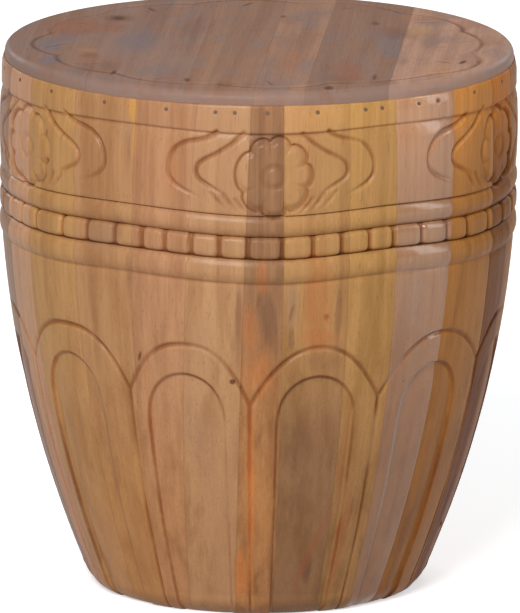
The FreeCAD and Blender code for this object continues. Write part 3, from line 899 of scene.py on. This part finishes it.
def carveTree():
    maker, given, place, position, cut = startCarving("carveStave", staveObjects, carving)
    pressure = uneven(maker, position, "pressure")
    leaf = near(maker, given["Leaf Lines"], place, given["Leaf Half Width"])
    leaf = leaf * (1 - insideOf(maker, given["Petals"], place))
    petal = pillow(maker, given["Petals"], place, given["Petal Inner Width"], given["Petal Outer Width"])
    petalLine = near(maker, given["Petals"], place, given["Petal Outer Width"] * carver["petalLine"])
    spur = near(maker, given["Spurs"], place, given["Spur Half Width"])
    button = pillow(maker, given["Buttons"], place, given["Button Width"], given["Button Width"])
    beadMask = readAttribute(maker, "bead")
    beadInside = insideOf(maker, given["Beads"], place)
    beadEdge = near(maker, given["Beads"], place, given["Bead Edge"])
    gap = beadMask * (beadEdge.power(carver["gapSteepness"]) * beadInside + (1 - beadInside))
    arch = near(maker, given["Arch Lines"], place, given["Arch Half Width"])
    panelInside = insideOf(maker, given["Panels"], place)
    panelAway = distanceTo(maker, given["Panels"], place, "EDGES")
    faint = readAttribute(maker, "faint")
    wall = (panelAway / (given["Panel Wall"] * (1 + faint * carver["faintWall"]))).ease(0, 1)
    rise = (panelAway / given["Panel Middle"]).ease(0, 1)
    sunk = given["Panel Depth"] * (1 - faint * carver["faintPanel"]) * wall
    panel = panelInside * (sunk - given["Panel Rise"] * rise)
    panelLine = panelInside * (1 - (panelAway / (given["Panel Wall"] * 1.25)).ease(0.35, 1))
    innerLine = (1 - (panelAway / carver["panelLine"]).ease(0, 1)) * carver["innerLine"]
    panelLine = panelLine.higher(innerLine)
    depth = (leaf * given["Leaf Depth"] * pressure).higher(petal * given["Petal Depth"])
    depth = depth.higher(spur * given["Spur Depth"]).higher(button * given["Button Depth"])
    archDepth = arch * given["Arch Depth"] * pressure * (1 - faint * carver["faintArch"])
    depth = depth.higher(gap * given["Gap Depth"]).higher(archDepth)
    depth = depth.higher(panel) * cut
    nailAway = distanceTo(maker, given["Nails"], place, "EDGES")
    dimple = given["Nail Dimple"] * nailAway.ease(nails["dimpleRadius"], nails["dimpleEdge"], 1, 0) * cut
    sway = maker.noise(position, carver["sway"]) * given["Hand Unevenness"]
    fine = given["Hand Unevenness"] * carver["rippleShare"]
    ripple = maker.noise(position, carver["ripple"], 1.0) * fine
    inward = readAttribute(maker, "inward", "FLOAT_VECTOR")
    moved = inward.scaled(depth.higher(dimple) + (sway + ripple + easedSeam(maker, given)) * cut)
    result = maker.node("GeometryNodeSetPosition", {}, {"Geometry": given["Geometry"], "Offset": moved})
    # dark wax and painted shade along the carved lines, in the bead gaps and in the creases between the
    # bands
    stain = (leaf * pressure * carver["leafWaxAndShade"]).higher(petalLine * carver["petalWaxAndShade"])
    stain = stain.higher(spur * carver["spurWaxAndShade"]).higher(button * carver["buttonWaxAndShade"])
    archWaxAndShade = arch.power(carver["archWaxAndShadeSteepness"]) * pressure * carver["archWaxAndShade"]
    stain = stain.higher(gap.power(carver["gapWaxAndShadeSteepness"])).higher(archWaxAndShade)
    creaseWaxAndShade = readAttribute(maker, "crease") * uneven(maker, position, "rubbing")
    stain = stain.higher(panelLine * pressure * carver["panelWaxAndShade"]).higher(creaseWaxAndShade)
    stain = stain * (1 - faint * carver["faintWaxAndShade"])
    return endTree(maker, store(maker, result, "stain", stain * cut), given["Material"])


# Wood

def linear(red, green, blue):            # a colour as painters' charts give it, 0 to 255
    return tuple(((c / 255 + 0.055) / 1.055) ** 2.4 for c in (red, green, blue))


# Colours, 0 to 255: light wood, darker figure, and patches
tones = {
    "honey": {"light": (190, 138, 82), "dark": (160, 108, 58), "patch": (194, 138, 88)},
    "tan": {"light": (182, 132, 86), "dark": (152, 102, 62), "patch": (176, 126, 86)},
    "pinkTan": {"light": (188, 138, 98), "dark": (158, 108, 72), "patch": (192, 138, 102)},
    "umber": {"light": (158, 114, 78), "dark": (116, 78, 50), "patch": (168, 116, 74)},
    "ochre": {"light": (184, 130, 70), "dark": (146, 98, 46), "patch": (178, 124, 72)},
    "top": {"light": (155, 118, 96), "dark": (130, 95, 76), "patch": (145, 112, 97),
            "lip": (136, 114, 105), "stain": (0.4, 0.3, 0.25), "flecks": ((150, 104, 80), (134, 115, 109)),
            "roughness": 0.5, "coat": 0.04},
}
wood = {
    # marks, in the order in which they lie over each other: colour, and how strong they get
    # blue is a painted reflection: bluish-grey spots where the top's waxed face reflects the light
    "marks": {"grey": ((156, 126, 104), 0.65), "blue": ((122, 110, 112), 0.65),
              "yellow": ((206, 152, 78), 0.7), "shade": ((122, 85, 61), 0.65),
              "orange": ((180, 112, 64), 0.62), "red": ((150, 98, 74), 0.75)},
    # stain: the colour that the dark wax and painted shade of the carved lines multiply in
    "knot": (84, 48, 28), "stain": (0.56, 0.35, 0.21),
    "poreColour": (0.1, 0.045, 0.02), "seamColour": (0.12, 0.06, 0.03),
    "roughness": 0.45, "fibreRoughness": 0.16, "shine": 0.1, "coat": 0.12, "coatRoughness": 0.17,
    "bumpStrength": 0.22, "bumpHeight": 0.0004,
    "plankBend": 0.02, "lipFade": 0.4,
    # how strongly each of these shows
    "streaks": 0.8, "rings": 0.22, "patches": 0.6, "flecks": 0.5, "fibres": 0.22, "pores": 0.3,
    "knots": 0.85, "stains": 0.85,
}
# layers of grain: how fine they are across, through and along the board, detail, roughness
grain = {
    "bend": ((5.0, 5.0, 1.6), 2.0, 0.5), "streak": ((75.0, 75.0, 2.4), 4.0, 0.6),
    "rings": ((190.0, 40.0, 2.2), 2.0, 0.5), "fibre": ((520.0, 520.0, 9.0), 3.0, 0.6),
    "patch": ((16.0, 16.0, 5.0), 2.0, 0.5), "blur": ((60.0, 60.0, 14.0), 3.0, 0.6),
    "pores": ((1500.0, 1500.0, 55.0), 1.0, 0.5), "cloud": ((34.0, 34.0, 15.0), 3.0, 0.6),
}


def look(light, warm, **others):         # light and warmth, then what is unusual about the piece
    usual = {
        "foot": (1.0, 1.0, 1.0), "footLow": 0.06, "footTop": 0.25,       # how the colour changes towards the foot: partly the wood's own tone, partly painted shade
        "rim": 1.0, "rimLow": 0.4225, "rimTop": 0.4255,                  # painted highlight: how much lighter the rim is
        "coat": wood["coat"],                                            # polish
    }
    return dict(usual, light=light, warm=warm, **others)


# Per stave, fitted one by one: light and warmth are partly the wood's own tone and partly painted shade,
# darkest on staves 25, 10 and 11 at the sides turned from the light; foot is partly painted shade too; rim
# is a painted highlight, strongest on staves 8 to 10
staveLooks = {
    25: look(0.58, 0.08, foot=(0.72, 0.6, 0.5), footLow=0.12, footTop=0.34, rim=1.4),
    26: look(1.2, -0.09, foot=(0.92, 0.86, 0.8)),
    1: look(1.07, -0.1, foot=(1.02, 0.96, 0.94)),
    2: look(1.03, -0.07, foot=(1.08, 1.0, 0.8)),
    3: look(0.95, -0.03, foot=(1.06, 1.02, 0.9), rim=0.95),
    4: look(1.2, -0.12, foot=(0.97, 0.95, 0.93)),
    5: look(1.0, -0.04, foot=(1.4, 1.3, 1.05), footLow=0.19, footTop=0.27, rim=1.15),
    6: look(0.94, -0.09, foot=(0.66, 0.64, 0.76), footLow=0.15, footTop=0.255, rim=1.15),
    7: look(1.16, -0.14, foot=(0.8, 0.76, 0.86), footLow=0.1, rim=1.15),
    8: look(0.79, -0.04, foot=(0.78, 0.65, 0.48), footLow=0.14, footTop=0.33,
            rim=1.4, rimLow=0.33, rimTop=0.45, coat=0.75),
    9: look(0.76, 0.12, foot=(0.82, 0.76, 0.62), rim=1.6, rimLow=0.33, rimTop=0.45),
    10: look(0.44, 0.42, foot=(0.76, 0.56, 0.4), footLow=0.1, footTop=0.35,
             rim=2.6, rimLow=0.35, rimTop=0.45, coat=0.0),
    11: look(0.5, 0.26, foot=(0.62, 0.52, 0.44), footTop=0.34, coat=0.0),
}


def hiddenLook(hand):                    # for the staves that the photo doesn't show
    return look(hand.uniform(0.88, 1.05), hand.uniform(-0.03, 0.03), foot=(hand.uniform(0.75, 1.0),) * 3)


def attribute(maker, name, out):
    return maker.node("ShaderNodeAttribute", {"attribute_name": name}, {}, out)


def shifted(colour, brightness, warmth):
    tint = (brightness * (1 + warmth), brightness, brightness * (1 - 1.6 * warmth))
    return tuple(c * t for c, t in zip(colour, tint))


def layer(maker, name, place):
    scale, detail, rough = grain[name]
    return maker.noise(place * scale, 1.0, detail, rough)


def waxedWood(name, tone, own):
    material = bpy.data.materials.new(name)
    material.use_nodes = True
    maker = Maker(material.node_tree)
    surface = material.node_tree.nodes["Principled BSDF"]
    plank = attribute(maker, "plank", "Vector")
    height = maker.node("ShaderNodeTexCoord", {}, {}, "Object").part(2)
    along = plank + (wood["plankBend"], 0.0, 0.0) * layer(maker, "bend", plank)
    streak, rings, fibre = (layer(maker, kind, along) for kind in ("streak", "rings", "fibre"))
    patch, blur = (layer(maker, kind, plank) for kind in ("patch", "blur"))
    pores = layer(maker, "pores", along).ease(0.62, 0.72)
    light, dark, mottle = (shifted(linear(*tone[key]), own["light"], own["warm"])
                           for key in ("light", "dark", "patch"))
    colour = maker.mix(streak.ease(0.38, 0.72) * wood["streaks"], light, dark)
    colour = maker.mix(rings.ease(0.42, 0.62) * wood["rings"], colour, dark)
    colour = maker.mix(patch.ease(0.45, 0.7) * wood["patches"], colour, mottle)
    for i, fleck in enumerate(tone.get("flecks", ())):
        scale, detail, rough = grain["cloud"]
        cloud = maker.noise(plank * scale + (3.1 * i, 0.7, 0.0), 1.0, detail, rough)
        colour = maker.mix(cloud.ease(0.48, 0.66) * wood["flecks"], colour, linear(*fleck))
    feather = (blur - 0.5) * 0.9 + (streak - 0.5) * 0.8
    for mark, (markColour, reach) in wood["marks"].items():
        given = attribute(maker, mark, "Fac")
        amount = (given + feather).ease(0.15, 0.95) * given.ease(0.0, 0.2)
        colour = maker.mix(amount * reach, colour, linear(*markColour))
    colour = maker.mix(fibre.ease(0.35, 0.75) * wood["fibres"], colour, dark)
    colour = maker.mix(pores * wood["pores"], colour, wood["poreColour"])
    knot = attribute(maker, "knot", "Fac").ease(0.1, 0.9) * wood["knots"]
    colour = maker.mix(knot, colour, linear(*wood["knot"]))
    # towards the foot: partly the wood's own tone, partly painted shade
    footShade = height.ease(own["footLow"], own["footTop"], 1.0, 0.0)
    colour = maker.mix(footShade, colour, own["foot"], "MULTIPLY")
    # painted highlight over the rim, and over the frieze where rimLow is set lower
    paintedRimHighlight = height.ease(own["rimLow"], own["rimTop"])
    colour = maker.mix(paintedRimHighlight, colour, (own["rim"],) * 3, "MULTIPLY")
    # dark wax and painted shade in the carved lines, bead gaps and creases, multiplied into the colour
    stain = attribute(maker, "stain", "Fac").ease(0.02, 1.0) * wood["stains"]
    colour = maker.mix(stain, colour, tone.get("stain", wood["stain"]), "MULTIPLY")
    edge = attribute(maker, "edge", "Fac").ease(0.0002, 0.0008, 0.18, 0.0)
    colour = maker.mix(edge, colour, wood["seamColour"])
    if "lip" in tone:
        lipColour = shifted(linear(*tone["lip"]), own["light"] ** wood["lipFade"], 0.0)
        lipShade = attribute(maker, "lip", "Fac") * streak.ease(0.35, 0.65, 0.8, 0.4)
        colour = maker.mix(lipShade, colour, lipColour)
    roughness = tone.get("roughness", wood["roughness"]) + wood["fibreRoughness"] * fibre
    bump = maker.node("ShaderNodeBump", {}, {"Strength": wood["bumpStrength"], "Height": fibre * 0.6 - pores,
                                             "Distance": wood["bumpHeight"]})
    finish = {"Base Color": colour, "Roughness": roughness, "Specular IOR Level": wood["shine"],
              "Coat Weight": tone.get("coat", own["coat"]), "Coat Roughness": wood["coatRoughness"],
              "Normal": bump}
    for socket, value in finish.items():
        maker.feed(surface.inputs[socket], value)
    return material


def finishSmooth(piece, sharpFrom=65):   # degrees
    mesh = piece.data
    mesh.polygons.foreach_set("use_smooth", [True] * len(mesh.polygons))
    mesh.set_sharp_from_angle(angle=math.radians(sharpFrom))


def makeStaves():
    rows = drumRows()
    angles = seamAngles()
    petals, spurs, buttons = drawFlowers()
    archLines, panels = drawArches()
    drawings = {"Leaf Lines": drawLeaves(), "Petals": petals, "Spurs": spurs, "Buttons": buttons,
                "Beads": drawBeads(), "Arch Lines": archLines, "Panels": panels, "Nails": drawNails()}
    tree = carveTree()
    hand = random.Random(29)
    slots = {entry["node"]: entry["material_slot"] for entry in frame["record"]["subparts"]}
    toneOfSlot = {"honey_wood": "honey", "tan_wood": "tan", "pink_tan_wood": "pinkTan",
                  "umber_wood": "umber", "ochre_wood": "ochre"}
    for number in range(1, len(staves["widths"]) + 1):
        node = f"stave_{number:02d}"
        piece = staveBlank(number - 1, rows, angles)
        chance = hiddenLook(hand)
        material = waxedWood(f"wood_{number:02d}", tones[toneOfSlot[slots[node]]],
                             staveLooks.get(number, chance))
        runTree(piece, tree, {**carving, **drawings, "Material": material})
        finishSmooth(piece)
        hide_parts(node)
        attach(piece, "root")
    for drawing in drawings.values():
        bpy.data.objects.remove(drawing)
    print("staves carved:", len(staves["widths"]), "rows", len(rows))


# The round top: boards cut from one turned disc, with a scalloped ring carved near the rim

top = {
    "radius": 0.2115, "lipRound": 0.0072, "lipLow": 0.446, "plugRadius": 0.1869, "plugLow": 0.429,
    "boardTurn": 4.0,        # degrees that the boards lean from front to back
    "seams": (-0.62, -0.222, 0.047, 0.2435, 0.56),       # shares of the radius
    "sectors": 720, "innerReach": 0.09,
    "timberShift": (0.29, 0.41, 0.53), "timberStart": 7.0,
    "lipFade": 0.006,        # how far the face's wood runs into the lip's
    # the scalloped ring: lobes from the right on, with those that can be read in the photo given apart
    "lobes": 12, "firstNotch": -11.2, "notchRadius": 0.177, "lobeRadius": 0.187, "lobeSquareness": 0.75,
    "notchRadii": {0: 0.1775, 1: 0.179, 11: 0.19}, "lobeRadii": {0: 0.185, 11: 0.1985},
    "veinStart": 0.16, "veinEnd": 0.178, "veinFade": 0.0016,
    # by hand: millimetres, millimetres, share of a lobe, degrees
    "notchSpan": (-2, 2), "lobeSpan": (-2, 3), "veinTurn": 0.05, "veinBend": 2.5,
}
topCarving = {
    "Line Depth": 0.0016, "Line Half Width": 0.0042,
    "Vein Depth": 0.0012, "Vein Half Width": 0.003,
    "Hand Unevenness": 0.0006,
    "Seam Round": 0.00012,
}
boardLooks = (look(0.98, 0.0), look(1.04, -0.03), look(1.02, 0.05),
              look(1.16, 0.04), look(0.96, 0.02), look(1.58, -0.01))
# marks on the face: right, back, half width, half depth, lean, strength
topMarks = {
    "red": ((-0.15, 0.06, 0.03, 0.034, 0.0, 1.1), (-0.126, 0.062, 0.016, 0.03, 0.0, 0.9),
            (-0.14, -0.08, 0.014, 0.026, 0.2, 0.6), (0.075, -0.115, 0.013, 0.045, 0.0, 0.9),
            (-0.13, -0.13, 0.01, 0.014, 0.0, 0.6)),
    "orange": ((0.028, -0.09, 0.012, 0.06, 0.0, 0.4), (0.134, 0.11, 0.02, 0.014, 0.0, 0.6),
               (-0.152, 0.064, 0.022, 0.016, 0.0, 0.6), (-0.14, -0.04, 0.014, 0.012, 0.0, 0.5)),
    "shade": ((-0.119, 0.101, 0.014, 0.018, 0.0, 1.0), (-0.133, -0.11, 0.02, 0.03, 0.2, 0.7),
              (0.113, 0.045, 0.014, 0.03, 0.0, 0.7), (0.068, -0.15, 0.018, 0.022, 0.0, 0.7),
              (-0.05, 0.06, 0.02, 0.06, 0.1, 0.5), (0.1, -0.16, 0.012, 0.016, 0.0, 0.6),
              (-0.02, -0.18, 0.02, 0.014, 0.0, 0.6), (-0.14, -0.06, 0.01, 0.012, 0.0, 0.8)),
    # blue: painted reflection, bluish-grey spots of reflected light on the face
    "blue": ((-0.174, -0.01, 0.009, 0.026, 0.0, 1.2), (-0.159, 0.025, 0.008, 0.022, 0.0, 1.0),
             (-0.172, -0.08, 0.01, 0.02, 0.0, 0.9), (-0.1, 0.01, 0.022, 0.05, 0.1, 0.7),
             (-0.08, -0.12, 0.02, 0.04, 0.0, 0.5), (0.108, -0.01, 0.012, 0.06, 0.0, 0.7),
             (0.01, -0.15, 0.02, 0.03, 0.0, 0.4)),
    "grey": ((-0.08, -0.08, 0.022, 0.07, 0.0, 0.5), (0.17, 0.01, 0.016, 0.04, 0.0, 0.5)),
    "yellow": ((0.134, 0.058, 0.016, 0.028, 0.0, 0.36), (0.15, -0.11, 0.02, 0.03, 0.0, 0.4),
               (-0.143, -0.038, 0.014, 0.01, 0.0, 0.4)),
    "knot": ((-0.059, -0.16, 0.0026, 0.008, 0.0, 0.8), (0.057, -0.19, 0.004, 0.009, 0.0, 0.9),
             (0.168, -0.077, 0.0026, 0.008, 0.3, 0.9), (-0.12, -0.131, 0.0022, 0.01, 0.2, 0.8),
             (-0.118, 0.101, 0.006, 0.009, 0.0, 0.8), (0.097, 0.087, 0.004, 0.008, 0.0, 0.6),
             (0.02, 0.115, 0.003, 0.006, 0.0, 0.6)),
}


def topRings():                          # from the middle of the face out and down to the underside
    t = top
    face = t["radius"] - t["lipRound"]
    rings = [(r / 1000, drum["height"]) for r in range(2, 100, 4)]       # wide apart where all is plain
    rings += linePoints((0.1, drum["height"]), (face, drum["height"]), 0.0013)
    for i in range(1, 7):
        turn = math.pi / 2 * i / 6
        rings.append((face + t["lipRound"] * math.sin(turn),
                      drum["height"] - t["lipRound"] * (1 - math.cos(turn))))
    lipTop = (t["radius"], drum["height"] - t["lipRound"])
    rings += linePoints(lipTop, (t["radius"], t["lipLow"]), 0.0012)[1:]
    plug = t["plugRadius"]
    return rings + [(plug, t["lipLow"]), (plug, t["plugLow"]), (t["innerReach"], t["plugLow"])]


def turnedTop():
    mesh = bpy.data.meshes.new("turnedTop")
    build = bmesh.new()
    rings = []
    for radius, level in topRings():
        rings.append([build.verts.new(pointAt(2 * math.pi * i / top["sectors"], radius, level))
                      for i in range(top["sectors"])])
    middleTop = build.verts.new((0, 0, drum["height"]))
    middleLow = build.verts.new((0, 0, top["plugLow"]))
    count = top["sectors"]
    for i in range(count):
        j = (i + 1) % count
        build.faces.new((middleTop, rings[0][i], rings[0][j]))
        build.faces.new((middleLow, rings[-1][j], rings[-1][i]))
        for inner, outer in zip(rings, rings[1:]):
            build.faces.new((inner[i], outer[i], outer[j], inner[j]))
    build.to_mesh(mesh)
    build.free()
    return mesh


def cutBoard(whole, number, edges):
    build = bmesh.new()
    build.from_mesh(whole)
    turn = math.radians(-top["boardTurn"])
    across = Vector((math.cos(turn), math.sin(turn), 0))
    for place, outward in ((edges[number], -1), (edges[number + 1], 1)):
        if abs(place) > top["radius"]:
            continue
        parts = build.verts[:] + build.edges[:] + build.faces[:]
        result = bmesh.ops.bisect_plane(build, geom=parts, dist=1e-7, plane_co=across * place,
                                        plane_no=across * outward, clear_outer=True)
        rim = [part for part in result["geom_cut"] if isinstance(part, bmesh.types.BMEdge)]
        bmesh.ops.contextual_create(build, geom=rim)
    bmesh.ops.recalc_face_normals(build, faces=build.faces)
    mesh = bpy.data.meshes.new(f"carved_board_{number + 1}")
    build.to_mesh(mesh)
    build.free()
    low, high = edges[number], edges[number + 1]
    points = [vertex.co.copy() for vertex in mesh.vertices]
    side = [across.dot(p) for p in points]
    along = Vector((-across.y, across.x, 0))
    face = top["radius"] - top["lipRound"]
    onFace, onEdge = [], []
    for p in points:
        away = math.hypot(p.x, p.y) - face
        onFace.append(1.0 if p.z > drum["height"] - 10 * touching and away < 10 * touching else 0.0)
        onLip = p.z > top["lipLow"] - 10 * touching
        onEdge.append(min(1.0, max(0.0, away / top["lipFade"])) if onLip else 0.0)
    one, two, three = top["timberShift"]
    shift = (one * number + top["timberStart"], two * (number % 3), three * (number % 4))
    setAttribute(mesh, "place", "FLOAT_VECTOR", [(p.x, p.y, 0) for p in points])
    setAttribute(mesh, "plank", "FLOAT_VECTOR", [(u + shift[0], p.z + shift[1], along.dot(p) + shift[2])
                                                  for u, p in zip(side, points)])
    setAttribute(mesh, "cut", "FLOAT", onFace)
    setAttribute(mesh, "lip", "FLOAT", onEdge)
    setAttribute(mesh, "edge", "FLOAT", [min(abs(u - low), abs(high - u)) for u in side])
    addMarks(mesh, np.array([(p.x, p.y) for p in points]), np.array(onFace), topMarks, 1.0)
    piece = bpy.data.objects.new(mesh.name, mesh)
    bpy.context.scene.collection.objects.link(piece)
    return piece


def drawScallops():
    t = top
    hand = random.Random(61)
    scallops = Drawing("scallopDrawing")
    veins = Drawing("veinDrawing")
    count = t["lobes"]
    notches = [t["notchRadii"].get(i, t["notchRadius"] + hand.uniform(*t["notchSpan"]) * mm)
               for i in range(count)]
    tops = [t["lobeRadii"].get(i, t["lobeRadius"] + hand.uniform(*t["lobeSpan"]) * mm)
            for i in range(count)]
    step = 360 / count
    for i in range(count):
        start = t["firstNotch"] + step * i
        ends = (notches[i], notches[(i + 1) % count])
        path = []
        for k in range(13):
            share = k / 12
            base = ends[0] + (ends[1] - ends[0]) * share
            radius = base + (tops[i] - sum(ends) / 2) * math.sin(math.pi * share) ** t["lobeSquareness"]
            turn = math.radians(start + step * share)
            path.append((radius * math.cos(turn), radius * math.sin(turn), 0))
        scallops.line(path)
        turn = math.radians(start + step * (0.5 + hand.uniform(-t["veinTurn"], t["veinTurn"])))
        bend = math.radians(hand.uniform(-t["veinBend"], t["veinBend"]))
        middle = (t["veinStart"] + t["veinEnd"]) / 2
        veins.line([(radius * math.cos(angle), radius * math.sin(angle), lift) for radius, angle, lift in
                    ((t["veinStart"], turn - bend, t["veinFade"]), (middle, turn, 0),
                     (t["veinEnd"], turn + bend, t["veinFade"]))])
    return scallops.build(), veins.build()


def topTree():
    maker, given, place, position, cut = startCarving("carveTop", ("Scallops", "Veins"), topCarving)
    pressure = uneven(maker, position, "topPressure")
    line = near(maker, given["Scallops"], place, given["Line Half Width"]) * pressure
    vein = near(maker, given["Veins"], place, given["Vein Half Width"]) * pressure
    depth = (line * given["Line Depth"]).higher(vein * given["Vein Depth"]) * cut
    sway = maker.noise(position, carver["topSway"]) * given["Hand Unevenness"]
    moved = maker.vector(0.0, 0.0, (depth + (sway + easedSeam(maker, given)) * cut) * -1)
    result = maker.node("GeometryNodeSetPosition", {}, {"Geometry": given["Geometry"], "Offset": moved})
    # dark wax and painted shade in the scallop lines and veins
    stain = line.higher(vein * carver["veinWaxAndShade"]) * carver["topWaxAndShade"] * cut
    return endTree(maker, store(maker, result, "stain", stain), given["Material"])


def makeTop():
    whole = turnedTop()
    edges = [-1.0] + [top["radius"] * share for share in top["seams"]] + [1.0]
    scallops, veins = drawScallops()
    tree = topTree()
    for number in range(len(edges) - 1):
        piece = cutBoard(whole, number, edges)
        material = waxedWood(f"wood_top_{number + 1}", tones["top"], boardLooks[number])
        runTree(piece, tree, {**topCarving, "Scallops": scallops, "Veins": veins, "Material": material})
        finishSmooth(piece)
        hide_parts(f"top_board_{number + 1}")
        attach(piece, "root")
    bpy.data.meshes.remove(whole)
    bpy.data.objects.remove(scallops)
    bpy.data.objects.remove(veins)
    print("top boards carved:", len(edges) - 1)


def darkSteel():
    material = bpy.data.materials.new("darkSteel")
    material.use_nodes = True
    maker = Maker(material.node_tree)
    surface = material.node_tree.nodes["Principled BSDF"]
    place = maker.node("ShaderNodeTexCoord", {}, {}, "Object")
    rust = maker.noise(place, nails["rustScale"])
    maker.feed(surface.inputs["Base Color"], maker.mix(rust, nails["steel"], nails["rust"]))
    maker.feed(surface.inputs["Metallic"], nails["metallic"])
    maker.feed(surface.inputs["Roughness"], nails["roughness"] + nails["rustRoughness"] * rust)
    return material


placeCamera()
setUpStudio()
print("studio ready")
makeStaves()
makeTop()
nailPiece = frame["nodes"]["top_nails"]
nailPiece.data.materials.clear()
nailPiece.data.materials.append(darkSteel())

bpy.context.scene.view_settings.view_transform = "Standard"
